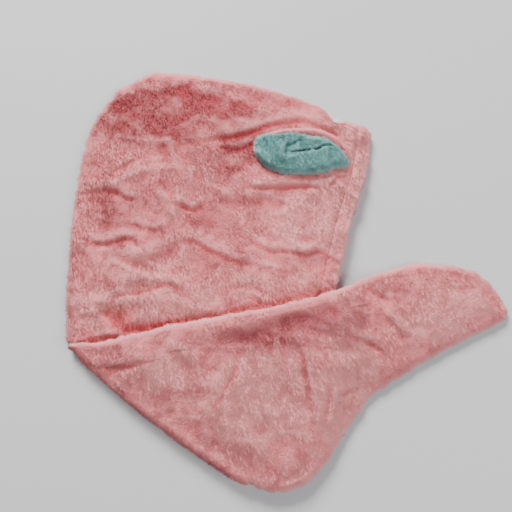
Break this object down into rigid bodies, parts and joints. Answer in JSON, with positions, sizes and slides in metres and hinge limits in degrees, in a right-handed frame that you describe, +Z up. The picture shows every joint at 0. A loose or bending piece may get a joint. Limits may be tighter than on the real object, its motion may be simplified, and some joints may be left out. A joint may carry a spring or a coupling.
{
  "type": "hair turban towel",
  "caption": "Pink fleece hair turban towel lying flat, its tail folded across the open hood, with a mint-lined ear and a button.",
  "frame": {"origin": "middle of the footprint, on the surface that the towel lies on", "axes": "+Z up, +X towards the tail's tip and the hood's opening, +Y towards the crown"},
  "size_m": [0.3942, 0.3858, 0.0239],
  "materials": {
    "fleece_pink": "plush pile",
    "fleece_mint": "plush pile",
    "button_white": "translucent gloss"
  },
  "bodies": {
    "root": {"upper_panel": "fleece_pink", "lower_panel": "fleece_pink", "ear_back": "fleece_pink", "ear_lining": "fleece_mint", "button": "button_white"}
  },
  "joints": []
}
